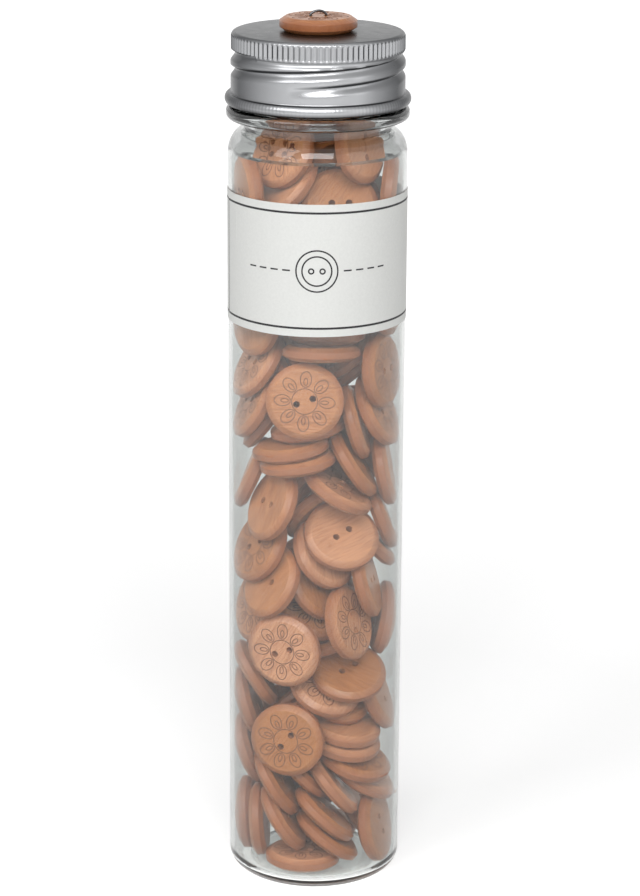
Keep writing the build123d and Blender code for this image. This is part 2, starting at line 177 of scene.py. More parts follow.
class CapSettings(bpy.types.PropertyGroup):
    """Sizes and colour of the metal cap."""

    wall: length("Wall", "Thickness of the sheet", 0.35)
    edge: length("Edge", "Radius between the panel and the knurled band", 1.1)
    knurls: IntProperty(name="Knurls", description="Slots round the knurled band", default=96, min=8)
    knurl_height: length("Knurl height", "Height of the knurled band", 3.0)
    knurl_depth: length("Knurl depth", "Depth of a slot", 0.4)
    waist_depth: length("Waist", "Depth of the dent under the knurled band", 0.5)
    waist_reach: length("Waist reach", "How far the dent reaches above and below its middle", 1.1)
    lead: length("Thread lead", "Rise of the thread in one turn", 7.2)
    groove_depth: length("Groove depth", "Depth of the rolled thread grooves", 1.0)
    groove_over: length("Groove over", "Height of a groove's upper edge above its middle", 1.3)
    groove_bottom: length("Groove bottom", "Height of its deepest line above its middle", 0.4)
    groove_under: length("Groove under", "Depth of its lower edge under its middle", 1.45)
    groove_fade: angle("Groove fade", "Angle in which a groove grows to its full depth", math.radians(40))
    roll: length("Rolled edge", "Radius of the rolled lower edge", 1.4)
    rib: length("Rib", "Depth of the fine ribs on the rolled edge", 0.05)
    metal: colour("Metal", "Colour of the satin metal", (0.37, 0.375, 0.385))
    # Painted shade: the metal's colour darkens towards this where it is seen at a slant, for the darker sides
    # of the cap.
    slant_shade: colour("Slanted metal", "Colour of the metal where it is seen at a slant", (0.055, 0.057, 0.061))
    pocket: length("Pocket", "Radius of the liner's pocket for the wire's ends", 4.9)
    pocket_depth: length("Pocket depth", "Depth of that pocket", 1.0)
    liner: colour("Liner", "Colour of the foam liner", (0.80, 0.80, 0.77))
    wire_diameter: length("Wire", "Diameter of the tie wire", 0.6)
    wire_tail: length("Wire end", "Length of a bent end of the wire", 2.2)
    wire: colour("Wire colour", "Colour of the tie wire", (0.10, 0.10, 0.105))


class StageSettings(bpy.types.PropertyGroup):
    """Camera, lights and floor."""

    camera_place: FloatVectorProperty(
        name="Camera", description="Place of the camera", default=(0.000955, -0.66344, 0.30944), unit="LENGTH"
    )
    pitch: angle("Pitch", "How far the camera looks down", 0.29668)
    roll: angle("Roll", "Roll of the camera", 0.005947)
    lens: FloatProperty(name="Lens", description="Focal length in millimetres", default=116.04, min=1)
    world_light: FloatProperty(name="World", description="Light from all round", default=0.22, min=0)
    floor: colour("Floor", "Colour of the floor", (0.82, 0.82, 0.82))
    floor_radius: length("Floor radius", "Radius of the floor", 4000.0)
    floor_low: FloatProperty(name="Near glow", description="Glow of the seen floor by the bottle", default=0.41)
    floor_high: FloatProperty(name="Far glow", description="Glow of the seen floor far away", default=0.9)
    floor_near: length("Near", "Radius at which the floor starts to grow lighter", 150.0)
    floor_far: length("Far", "Radius at which the floor is lightest", 700.0)


# Shared mesh steps


def outline(corners, rounds, segments):
    """A bmesh with a line through the corners in the XZ plane, rounded at the numbered ones."""
    bm = bmesh.new()
    verts = [bm.verts.new((x, 0, z)) for x, z in corners]
    for start, end in zip(verts, verts[1:]):
        bm.edges.new((start, end))
    for number, radius in rounds.items():
        bmesh.ops.bevel(
            bm, geom=[verts[number]], offset=radius, offset_type="OFFSET", affect="VERTICES",
            segments=segments, profile=0.5, material=-1,
        )
    return bm


def divide(bm, longest, inside):
    """Cuts the outline's long edges outside this radius until none is longer than this."""
    for edge in bm.edges[:]:
        cuts = math.ceil(edge.calc_length() / longest) - 1
        if cuts > 0 and min(vert.co.x for vert in edge.verts) > inside:
            bmesh.ops.subdivide_edges(bm, edges=[edge], cuts=cuts)


def lathe(bm, steps):
    """Turns the outline right round the Z axis and closes it where it meets the axis."""
    bmesh.ops.spin(
        bm, geom=bm.verts[:] + bm.edges[:], cent=(0, 0, 0), axis=(0, 0, 1), angle=math.tau, steps=steps,
        use_merge=True,
    )
    tidy_faces(bm)


def tidy_faces(bm):
    """Merges doubled corners and turns the faces outward."""
    bmesh.ops.remove_doubles(bm, verts=bm.verts, dist=TOUCHING)
    bmesh.ops.recalc_face_normals(bm, faces=bm.faces)


def join(bm, other):
    """Adds another bmesh to this one and frees it."""
    mesh = bpy.data.meshes.new("joined")
    other.to_mesh(mesh)
    other.free()
    bm.from_mesh(mesh)
    bpy.data.meshes.remove(mesh)


def push(vert, share):
    """Moves a corner out from the Z axis by this share of its distance."""
    vert.co.x, vert.co.y = vert.co.x * share, vert.co.y * share


def bearing_of(vert):
    """The angle round the Z axis from the front."""
    return math.atan2(vert.co.x, -vert.co.y)


def finish_piece(name, bm, body, materials, replaced=(), crease=0.7):
    """Makes the bmesh, in millimetres, an object that rides on a body and wears these materials."""
    bmesh.ops.scale(bm, vec=(1 / MM,) * 3, verts=bm.verts)
    mesh = bpy.data.meshes.new(name)
    bm.to_mesh(mesh)
    bm.free()
    mesh.shade_smooth()
    mesh.set_sharp_from_angle(angle=crease)
    for material in materials:
        mesh.materials.append(material)
    piece = bpy.data.objects.new(name, mesh)
    bpy.context.scene.collection.objects.link(piece)
    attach(piece, body)
    if replaced:
        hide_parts(*replaced)
    return piece


# Shared shader groups


def new_group(name, inputs, outputs):
    """An empty shader group with these sockets, and its input and output nodes."""
    group = bpy.data.node_groups.new(name, "ShaderNodeTree")
    for label, kind, default in inputs:
        socket = group.interface.new_socket(name=label, in_out="INPUT", socket_type=kind)
        if default is not None:
            socket.default_value = default
    for label, kind in outputs:
        group.interface.new_socket(name=label, in_out="OUTPUT", socket_type=kind)
    return group, group.nodes.new("NodeGroupInput"), group.nodes.new("NodeGroupOutput")


def put(tree, kind, values=None, **settings):
    """A node with these settings and input values; a linked socket is given as the value."""
    node = tree.nodes.new(kind)
    for name, value in settings.items():
        setattr(node, name, value)
    for name, value in (values or {}).items():
        if isinstance(value, bpy.types.NodeSocket):
            tree.links.new(value, node.inputs[name])
        else:
            node.inputs[name].default_value = value
    return node


def mix(tree, factor, first, second):
    """A colour mix, as its result socket."""
    return put(tree, "ShaderNodeMix", {0: factor, 6: first, 7: second}, data_type="RGBA").outputs[2]


def spread(tree, value, low, high, to_low=0.0, to_high=1.0):
    """Maps a range of values to another, as a socket."""
    node = put(tree, "ShaderNodeMapRange", {
        "Value": value, "From Min": low, "From Max": high, "To Min": to_low, "To Max": to_high,
    })
    return node.outputs["Result"]


def seen_ray(tree):
    """One for camera rays and for reflected and refracted ones, nought for the rest."""
    path = put(tree, "ShaderNodeLightPath")
    seen = path.outputs["Is Camera Ray"]
    for kind in ("Is Glossy Ray", "Is Transmission Ray"):
        seen = put(tree, "ShaderNodeMath", {0: seen, 1: path.outputs[kind]}, operation="MAXIMUM").outputs[0]
    return seen


def wood_group():
    """Fine straight grain with soft blotches, on coordinates in millimetres."""
    group, given, made = new_group(
        "wood_grain",
        [
            ("Vector", "NodeSocketVector", None),
            ("Light", "NodeSocketColor", (1, 1, 1, 1)),
            ("Dark", "NodeSocketColor", (0, 0, 0, 1)),
            ("Tone", "NodeSocketFloat", 0.5),
        ],
        [("Color", "NodeSocketColor"), ("Height", "NodeSocketFloat")],
    )
    along = put(group, "ShaderNodeMapping", {"Vector": given.outputs["Vector"], "Scale": (0.22, 2.6, 0.6)})
    fibres = put(group, "ShaderNodeTexNoise", {
        "Vector": along.outputs["Vector"], "Scale": 1.0, "Detail": 4.0, "Roughness": 0.6, "Distortion": 0.2,
    })
    pores = put(group, "ShaderNodeMapping", {"Vector": given.outputs["Vector"], "Scale": (0.9, 11.0, 3.0)})
    flecks = put(group, "ShaderNodeTexNoise", {"Vector": pores.outputs["Vector"], "Scale": 1.0, "Detail": 2.0})
    blotches = put(group, "ShaderNodeTexNoise", {
        "Vector": given.outputs["Vector"], "Scale": 0.12, "Detail": 1.0,
    })
    light, dark = given.outputs["Light"], given.outputs["Dark"]
    streaked = mix(group, spread(group, fibres.outputs["Fac"], 0.38, 0.62), dark, light)
    clouded = mix(group, spread(group, blotches.outputs["Fac"], 0.3, 0.7, 0.0, 0.5), streaked, light)
    flecked = mix(group, spread(group, flecks.outputs["Fac"], 0.62, 0.75, 0.0, 0.25), clouded, dark)
    toned = put(group, "ShaderNodeHueSaturation", {
        "Color": flecked,
        "Value": spread(group, given.outputs["Tone"], 0.0, 1.0, 0.80, 1.13),
        "Saturation": spread(group, given.outputs["Tone"], 0.0, 1.0, 1.08, 0.92),
    })
    group.links.new(toned.outputs["Color"], made.inputs["Color"])
    group.links.new(fibres.outputs["Fac"], made.inputs["Height"])
    return group


def speckle_group():
    """Small soft unevenness for roughness and bump, on coordinates in metres."""
    group, given, made = new_group(
        "fine_unevenness",
        [
            ("Vector", "NodeSocketVector", None),
            ("Scale", "NodeSocketFloat", 500.0),
            ("Low", "NodeSocketFloat", 0.0),
            ("High", "NodeSocketFloat", 1.0),
        ],
        [("Value", "NodeSocketFloat"), ("Height", "NodeSocketFloat")],
    )
    noise = put(group, "ShaderNodeTexNoise", {
        "Vector": given.outputs["Vector"], "Scale": given.outputs["Scale"], "Detail": 3.0, "Roughness": 0.55,
    })
    value = put(group, "ShaderNodeMapRange", {
        "Value": noise.outputs["Fac"], "From Min": 0.3, "From Max": 0.7,
        "To Min": given.outputs["Low"], "To Max": given.outputs["High"],
    })
    group.links.new(value.outputs["Result"], made.inputs["Value"])
    group.links.new(noise.outputs["Fac"], made.inputs["Height"])
    return group


def shared(name, build):
    """The named shader group, built the first time that it is asked for."""
    return bpy.data.node_groups.get(name) or build()


def new_material(name):
    """A material with an empty Principled shader, as (material, tree, shader)."""
    material = bpy.data.materials.new(name)
    material.use_nodes = True
    return material, material.node_tree, material.node_tree.nodes["Principled BSDF"]


def unevenness(tree, scale, low, high, vector=None):
    """The shared unevenness group in a material, on Object coordinates unless others are given."""
    if vector is None:
        vector = put(tree, "ShaderNodeTexCoord").outputs["Object"]
    values = {"Vector": vector, "Scale": scale, "Low": low, "High": high}
    return put(tree, "ShaderNodeGroup", values, node_tree=shared("fine_unevenness", speckle_group))


def bump(tree, height, strength, distance, shader):
    """Feeds a height to the shader's normal."""
    node = put(tree, "ShaderNodeBump", {"Height": height, "Strength": strength, "Distance": distance})
    tree.links.new(node.outputs["Normal"], shader.inputs["Normal"])


def wood_material(name, settings):
    """Varnished wood: grain from each button's own coordinates, redder and darker round the rim: partly the end
    grain's own colour, partly painted shade.
    """
    material, tree, shader = new_material(name)
    grain, tone, rim = (
        put(tree, "ShaderNodeAttribute", attribute_name=name) for name in ("grain", "tone", "rim")
    )
    values = {
        "Vector": grain.outputs["Vector"], "Tone": tone.outputs["Fac"],
        "Light": (*settings.light, 1), "Dark": (*settings.dark, 1),
    }
    wood = put(tree, "ShaderNodeGroup", values, node_tree=shared("wood_grain", wood_group))
    # Partly painted shade: the rim is darkened towards this colour as well as reddened.
    rim_colour_and_shade = spread(tree, rim.outputs["Fac"], 0.0, 1.0, 0.0, 0.75)
    rimmed = mix(tree, rim_colour_and_shade, wood.outputs["Color"], (*settings.rim_tint, 1))
    tree.links.new(rimmed, shader.inputs["Base Color"])
    gloss = unevenness(tree, 0.5, 0.34, 0.48, grain.outputs["Vector"])
    tree.links.new(gloss.outputs["Value"], shader.inputs["Roughness"])
    shader.inputs["Specular IOR Level"].default_value = 0.25
    shader.inputs["Coat Weight"].default_value = 0.35
    shader.inputs["Coat Roughness"].default_value = 0.17
    bump(tree, wood.outputs["Height"], 0.22, 0.0002, shader)
    return material


def burnt_material(name, settings):
    """Burnt lines of the engraving, lighter where they are burnt less."""
    material, tree, shader = new_material(name)
    char = unevenness(tree, 4000.0, 0.0, 1.0)
    lighter = [2.2 * part for part in settings.burnt]
    burnt = mix(tree, char.outputs["Value"], (*settings.burnt, 1), (*lighter, 1))
    tree.links.new(burnt, shader.inputs["Base Color"])
    shader.inputs["Roughness"].default_value = 0.8
    return material


def clear_material(name, settings):
    """Clear plastic with painted light: darker in the neck (thicker plastic and painted shade under the cap),
    painted shade edge-on and a weaker painted shine above the label; light reaches the inside straight through
    it.
    """
    material, tree, shader = new_material(name)
    place = put(tree, "ShaderNodeTexCoord").outputs["Object"]
    height = put(tree, "ShaderNodeSeparateXYZ", {"Vector": place}).outputs["Z"]
    # Partly painted shade: the neck is darkened for the shadow of the cap and bead as well as for its thicker
    # plastic.
    thick = spread(tree, height, settings.body_height, settings.body_height + settings.shoulder)
    tinted = mix(tree, thick, (*settings.clear, 1), (*settings.neck_tint_and_shade, 1))
    # Painted shade: the tint darkens towards the edge colour where the wall is seen edge-on.
    slant = put(tree, "ShaderNodeLayerWeight", {"Blend": 0.5})
    edge = spread(tree, slant.outputs["Facing"], 0.25, 0.9)
    tree.links.new(mix(tree, edge, tinted, (*settings.edge, 1)), shader.inputs["Base Color"])
    # Painted reflection: the specular tint dims the shine from the label's lower edge up to its upper edge.
    above = spread(tree, height, LABEL_LOW.z, LABEL_HIGH.z)
    tree.links.new(mix(tree, above, (1, 1, 1, 1), (*settings.neck_shine, 1)), shader.inputs["Specular Tint"])
    shader.inputs["Transmission Weight"].default_value = 1.0
    shader.inputs["Roughness"].default_value = 0.02
    shader.inputs["IOR"].default_value = 1.5
    waves = unevenness(tree, 60.0, 0.0, 1.0)
    bump(tree, waves.outputs["Height"], 0.10, 0.0006, shader)
    straight = put(tree, "ShaderNodeBsdfTransparent", {"Color": (1, 1, 1, 1)})
    shadow = put(tree, "ShaderNodeLightPath").outputs["Is Shadow Ray"]
    shaders = {0: shadow, 1: shader.outputs["BSDF"], 2: straight.outputs["BSDF"]}
    both = put(tree, "ShaderNodeMixShader", shaders)
    tree.links.new(both.outputs["Shader"], tree.nodes["Material Output"].inputs["Surface"])
    return material


def metal_material(name, base, slant_shade, scale, low, high):
    """Satin metal with a slightly uneven polish, and painted shade where it is seen at a slant."""
    material, tree, shader = new_material(name)
    polish = unevenness(tree, scale, low, high)
    slant = put(tree, "ShaderNodeLayerWeight", {"Blend": 0.5}).outputs["Facing"]
    # Painted shade: the base colour darkens as the surface turns away from the view.
    seen = mix(tree, spread(tree, slant, 0.05, 0.58), (*base, 1), (*slant_shade, 1))
    dull = mix(tree, 0.05, seen, (0, 0, 0, 1))
    tree.links.new(mix(tree, polish.outputs["Height"], seen, dull), shader.inputs["Base Color"])
    tree.links.new(polish.outputs["Value"], shader.inputs["Roughness"])
    shader.inputs["Metallic"].default_value = 1.0
    return material


def paper_material(name, base, rough):
    """Coated paper, foam or ink: a matt colour with a little fibre in it."""
    material, tree, shader = new_material(name)
    fibre = unevenness(tree, 1800.0, 0.0, 1.0)
    darker = [0.95 * part for part in base]
    tree.links.new(mix(tree, fibre.outputs["Value"], (*base, 1), (*darker, 1)), shader.inputs["Base Color"])
    shader.inputs["Roughness"].default_value = rough
    bump(tree, fibre.outputs["Height"], 0.08, 0.0001, shader)
    return material


def material(name, build, *values):
    """The named material, built the first time that it is asked for."""
    return bpy.data.materials.get(name) or build(name, *values)


def wood_materials():
    """The button's two materials."""
    settings = bpy.context.scene.bottle_buttons
    return [
        material("varnished_wood", wood_material, settings),
        material("burnt_line", burnt_material, settings),
    ]


# Buttons


def line_ring(bm, radius, width, sides, place):
    """A thin flat ring: a filled circle, inset by the line's width, with its middle taken out."""
    made = bmesh.ops.create_circle(bm, cap_ends=True, radius=radius, segments=sides, matrix=place)
    face = made["verts"][0].link_faces[0]
    bmesh.ops.inset_individual(bm, faces=[face], thickness=width, use_even_offset=True)
    bmesh.ops.delete(bm, geom=[face], context="FACES_ONLY")


def engrave(bm, settings, half):
    """A line flower round the holes, a hair above the face, in the second material."""
    width = settings.line_width * MM
    before = set(bm.faces)
    lift = Matrix.Translation((0, 0, half + ENGRAVED_LIFT))
    line_ring(bm, settings.ring * MM, width, 30, lift)
    loops = (
        (settings.petal_place, settings.petal_length, settings.petal_width, 24),
        (settings.bud_place, settings.bud_length, settings.bud_width, 16),
    )
    for petal in range(settings.petals):
        turn = lift @ Matrix.Rotation(math.tau * (petal + 0.5) / settings.petals, 4, "Z")
        for out, long, wide, sides in loops:
            place = turn @ Matrix.Translation((out * MM, 0, 0)) @ Matrix.Diagonal((1, wide / long, 1, 1))
            line_ring(bm, long * MM, width, sides, place)
    for face in set(bm.faces) - before:
        face.material_index = 1
        if face.normal.z < 0:
            face.normal_flip()


def button_mesh(settings, sides, soft, holes, engraved):
    """One button round its own centre, in millimetres, as a mesh to place many times."""
    radius, half, rim = settings.diameter * MM / 2, settings.thickness * MM / 2, settings.rim * MM / 2
    flat = radius - settings.bevel * MM
    field, support = 0.55 * radius, 0.25
    corners = [(field if holes else 0.0, half), (flat - support, half), (flat, half), (radius, rim)]
    corners += [(x, -z) for x, z in reversed(corners)]
    bm = outline(corners, dict.fromkeys((2, 3, 4, 5), settings.edge_round * MM), soft)
    lathe(bm, sides)
    if holes:
        for side in (1, -1):
            edges = [edge for edge in bm.edges if edge.is_boundary and edge.verts[0].co.z * side > 0]
            for place in (-0.5, 0.5):
                ring = bmesh.ops.create_circle(
                    bm, cap_ends=False, radius=settings.hole_diameter * MM / 2, segments=holes,
                    matrix=Matrix.Translation((place * settings.hole_spacing * MM, 0, side * half)),
                )
                edges += list({edge for vert in ring["verts"] for edge in vert.link_edges})
            bmesh.ops.triangle_fill(bm, use_beauty=True, edges=edges, normal=(0, 0, side))
        for place in (-1, 1):
            wall = [edge for edge in bm.edges if edge.is_boundary and edge.verts[0].co.x * place > 0]
            bmesh.ops.bridge_loops(bm, edges=wall)
    bmesh.ops.recalc_face_normals(bm, faces=bm.faces)
    if engraved:
        engrave(bm, settings, half)
    layer = bm.verts.layers.float.new("rim")
    for vert in bm.verts:
        vert[layer] = max(0.0, min(1.0, (math.hypot(vert.co.x, vert.co.y) - flat) / (radius - flat)))
    mesh = bpy.data.meshes.new("one_button")
    bm.to_mesh(mesh)
    bm.free()
    return mesh


def islands(node):
    """The separate solids of a CAD node, each as an array of its corners in millimetres."""
    bm = bmesh.new()
    bm.from_mesh(node.data)
    bmesh.ops.remove_doubles(bm, verts=bm.verts, dist=1e-6)
    left, found = set(bm.verts), []
    while left:
        queue = [left.pop()]
        for vert in queue:
            for edge in vert.link_edges:
                other = edge.other_vert(vert)
                if other in left:
                    left.remove(other)
                    queue.append(other)
        found.append(np.array([vert.co for vert in queue]) * MM)
    bm.free()
    return sorted(found, key=lambda points: tuple(points.mean(axis=0)))


def button_place(points, hole_spacing):
    """Where a CAD button lies: its own axes as columns, its face towards the camera's side."""
    centre = points.mean(axis=0)
    arms = points - centre
    normal = np.linalg.svd(arms, full_matrices=False)[2][2]
    towards = np.array(bpy.context.scene.bottle_stage.camera_place) * MM - centre
    normal = normal * (1 if normal @ towards > 0 else -1)
    flat = arms - np.outer(arms @ normal, normal)
    near = flat[np.linalg.norm(flat, axis=1) < hole_spacing]
    along = np.linalg.svd(near if len(near) else flat, full_matrices=False)[2][0]
    along = along * (1 if along[0] > 0 else -1)
    across = np.cross(normal, along)
    rows = [[*row, centre[axis]] for axis, row in enumerate(np.c_[along, across, normal])]
    return Matrix(rows + [[0, 0, 0, 1]])


def add_button(bm, mesh, place, chance):
    """Adds one button at its place, with its own grain and tone."""
    layers = bm.verts.layers
    for kind, name in ((layers.float_vector, "grain"), (layers.float, "tone")):
        if kind.get(name) is None:
            kind.new(name)
    first = len(bm.verts)
    bm.from_mesh(mesh)
    bm.verts.ensure_lookup_table()
    grain, tone = layers.float_vector.get("grain"), layers.float.get("tone")
    fresh = bm.verts[first:]
    shift, shade = Vector(chance.uniform(0, 400, 3)), chance.random()
    turn = Matrix.Rotation(chance.uniform(0, math.tau), 3, "Z")
    for vert in fresh:
        vert[grain] = turn @ vert.co + shift
        vert[tone] = shade
    bmesh.ops.transform(bm, matrix=place, verts=fresh)


class BOTTLE_OT_buttons(bpy.types.Operator):
    """Turned buttons in place of the plain ones: those that show and those inside the heap, in two pieces"""

    bl_idname = "bottle.buttons"
    bl_label = "Buttons"

    def execute(self, context):
        settings = context.scene.bottle_buttons
        spacing = settings.hole_spacing * MM
        engraved = {f"button_{int(number):02d}" for number in settings.engraved.split()}
        plain, flowered = (button_mesh(settings, 38, 4, 12, engraved=face) for face in (False, True))
        chance = np.random.default_rng(5)
        engraved_share = 0.3
        shown, inner = bmesh.new(), bmesh.new()
        singles = sorted(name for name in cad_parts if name.startswith("button_"))
        layers = sorted(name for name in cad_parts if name.startswith("buttons_inner"))
        for name in singles:
            place = button_place(islands(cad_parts[name])[0], spacing)
            add_button(shown, flowered if name in engraved else plain, place, chance)
        for name in layers:
            for points in islands(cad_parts[name]):
                place = button_place(points, spacing)
                add_button(inner, flowered if chance.random() < engraved_share else plain, place, chance)
        for name, bm, nodes in (("buttons_shown", shown, singles), ("buttons_inner", inner, layers)):
            finish_piece(name, bm, "bottle", wood_materials(), nodes)
        return {"FINISHED"}


# Bottle


def thread_ridge(radius, height, lead, turns, lift, width):
    """A ridge that climbs round the neck, closed at both ends."""
    sunk, steps = 0.3, 72
    corners = [
        (radius - sunk, height - width), (radius + lift, height - width / 4),
        (radius + lift, height + width / 4), (radius - sunk, height + width),
    ]
    bm = bmesh.new()
    face = bm.faces.new([bm.verts.new((x, 0, z)) for x, z in corners])
    bmesh.ops.spin(
        bm, geom=[face], cent=(0, 0, 0), axis=(0, 0, 1), angle=math.tau * turns, steps=int(steps * turns),
        dvec=(0, 0, lead / steps), use_merge=False,
    )
    tidy_faces(bm)
    return bm


class BOTTLE_OT_bottle(bpy.types.Operator):
    """Clear bottle: standing ring, rounded foot and shoulder, neck, support bead and threaded finish"""

    bl_idname = "bottle.bottle"
    bl_label = "Bottle"

    def execute(self, context):
        settings = context.scene.bottle_bottle
        wall, body, shoulder = settings.wall * MM, settings.body_height * MM, settings.shoulder * MM
        neck = BODY_RADIUS - settings.neck_inset * MM
        mouth, finish = neck - settings.neck_wall * MM, neck + settings.finish_step * MM
        foot, punt = BODY_RADIUS - settings.foot_inset * MM, settings.punt * MM
        top = body + shoulder
        bead_low = top + settings.bead_lift * MM
        bead_high, bead = bead_low + settings.bead_height * MM, BOTTLE_HIGH.x
        corners = [
            (0, punt), (foot - settings.foot_slope * MM, punt), (foot, 0), (BODY_RADIUS, 0), (BODY_RADIUS, top),
            (neck, top), (neck, bead_low), (bead, bead_low), (bead, bead_high), (finish, bead_high),
            (finish, RIM_HEIGHT),
            (mouth, RIM_HEIGHT), (mouth, top - wall), (BODY_RADIUS - wall, top - wall),
            (BODY_RADIUS - wall, punt + wall), (0, punt + wall),
        ]
        left_over = 0.02
        bend = BODY_RADIUS - neck - left_over
        small, large = settings.edge_round * MM, settings.bead_round * MM
        rounds = {
            1: small, 2: 0.8 * small, 3: settings.base_corner * MM, 4: bend, 6: small, 7: large, 8: large,
            9: 0.8 * small, 10: small, 11: small,
            13: settings.inner_shoulder * MM, 14: settings.inner_corner * MM,
        }
        bm = outline(corners, rounds, 8)
        near = left_over / 2
        for vert in bm.verts:
            if vert.co.x > neck + near and top - bend - near <= vert.co.z <= top + near:
                vert.co.z = top - (top - vert.co.z) * shoulder / bend
        lathe(bm, 96)
        lead = context.scene.bottle_cap.lead * MM
        for start in (0.0, 0.5):
            ridge = thread_ridge(
                finish, bead_high + settings.thread_start * MM, lead, settings.thread_turns,
                settings.thread_lift * MM, settings.thread_width * MM,
            )
            turn = Matrix.Rotation(math.tau * start, 3, "Z")
            bmesh.ops.rotate(ridge, cent=(0, 0, 0), matrix=turn, verts=ridge.verts)
            join(bm, ridge)
        clear = material("clear_wall", clear_material, settings)
        finish_piece("bottle_shell", bm, "bottle", [clear], ["bottle"], crease=0.9)
        return {"FINISHED"}


# Label


def sheet_edge(low, high, inside, outside):
    """A bmesh with the outline of an upright sheet's edge."""
    bm = outline([(inside, low), (outside, low), (outside, high), (inside, high), (inside, low)], {}, 1)
    bmesh.ops.remove_doubles(bm, verts=bm.verts, dist=TOUCHING)
    return bm


def strip(bm, across, height, wide, tall):
    """A thin printed bar, flat in the XZ plane, centred at this place."""
    place = Matrix.Translation((across, 0, height)) @ Matrix.Rotation(math.pi / 2, 4, "X")
    bmesh.ops.create_grid(
        bm, x_segments=4, y_segments=1, size=0.5, matrix=place @ Matrix.Diagonal((wide, tall, 1, 1))
    )


def print_label(bm, settings, low, high):
    """The label's end rule, and a row of printed stitches with a line button in the middle."""
    flat = bmesh.new()
    width, middle = settings.rule_width * MM, (low + high) / 2
    outside = BODY_RADIUS + PAPER
    past_seam = 0.02
    strip(flat, (settings.seam + past_seam) * outside, middle, width / 2, high - low)
    upright = Matrix.Translation((0, 0, middle)) @ Matrix.Rotation(math.pi / 2, 4, "X")
    motif, line = settings.motif * MM, 0.7 * width
    inner, hole, hole_place = 0.72 * motif, 0.15 * motif, 0.26 * motif
    for radius, sides in ((motif, 48), (inner, 40)):
        line_ring(flat, radius, line, sides, upright)
    for side in (-1, 1):
        line_ring(flat, hole, line, 16, upright @ Matrix.Translation((hole_place * side, 0, 0)))
        for row in range(settings.stitches):
            away = motif + settings.stitch_gap * MM + settings.stitch_step * MM * row
            strip(flat, side * away, middle, settings.stitch * MM, line)
    for vert in flat.verts:
        bearing, lift = vert.co.x / outside, outside + 2 * PRINTED_LIFT
        vert.co = (lift * math.sin(bearing), -lift * math.cos(bearing), vert.co.z)
    for face in flat.faces:
        face.normal_update()
        if face.normal.xy.dot(face.calc_center_median().xy) < 0:
            face.normal_flip()
    join(bm, flat)


class BOTTLE_OT_label(bpy.types.Operator):
    """Paper label wrapped round the bottle, with two printed rules and a stitched button motif"""

    bl_idname = "bottle.label"
    bl_label = "Label"

    def execute(self, context):
        settings = context.scene.bottle_label
        low, high = LABEL_LOW.z, LABEL_HIGH.z
        glue, steps, sinking = 0.02, 120, 0.9
        outside = BODY_RADIUS + PAPER
        bm = sheet_edge(low, high, BODY_RADIUS + glue, outside)
        lathe(bm, steps)
        flap = sheet_edge(low, high, outside, outside + PAPER)
        face = bmesh.ops.contextual_create(flap, geom=flap.edges[:])["faces"]
        start = Matrix.Rotation(settings.seam - math.pi / 2, 3, "Z")
        bmesh.ops.rotate(flap, cent=(0, 0, 0), matrix=start, verts=flap.verts)
        bmesh.ops.spin(
            flap, geom=face, cent=(0, 0, 0), axis=(0, 0, 1), angle=settings.lap, steps=12, use_merge=False
        )
        bmesh.ops.recalc_face_normals(flap, faces=flap.faces)
        for vert in flap.verts:
            past = (bearing_of(vert) - settings.seam) / settings.lap
            push(vert, 1 - sinking * PAPER * max(0.0, past) / outside)
        join(bm, flap)
        paper = material("label_paper", paper_material, settings.paper, 0.55)
        finish_piece("label_paper", bm, "bottle", [paper], ["label"], crease=0.6)

        inset, width, lifted = settings.rule_inset * MM, settings.rule_width * MM, outside + PRINTED_LIFT
        printed = bmesh.new()
        for middle in (low + inset, high - inset):
            rule = outline([(lifted, middle - width / 2), (lifted, middle + width / 2)], {}, 1)
            lathe(rule, steps)
            join(printed, rule)
        print_label(printed, settings, low + inset, high - inset)
        for vert in printed.verts:
            past = (bearing_of(vert) - settings.seam) / settings.lap
            if 0 <= past <= 1:
                push(vert, 1 + PAPER * (1 - sinking * past) / outside)
        ink = material("label_ink", paper_material, settings.ink, 0.6)
        finish_piece("label_rules", printed, "bottle", [ink], crease=0.6)
        return {"FINISHED"}


# Cap


def groove_depth_at(bearing, height, settings):
    """How far the two rolled grooves sink the skirt at this bearing from the front and this height."""
    sunk = 0.0
    for start in GROOVE_STARTS:
        for lap in (-1, 0, 1):
            along = bearing + math.tau * lap - start
            middle = GROOVE_LOW + settings.lead * MM * along / math.tau
            if along < 0 or middle > GROOVE_HIGH:
                continue
            deepest = middle + settings.groove_bottom * MM
            edge, foot = middle + settings.groove_over * MM, middle - settings.groove_under * MM
            share = max(0.0, min((edge - height) / (edge - deepest), (height - foot) / (deepest - foot)))
            fade = min(1.0, along / settings.groove_fade)
            sunk = max(sunk, settings.groove_depth * MM * fade * share * share * (3 - 2 * share))
    return sunk


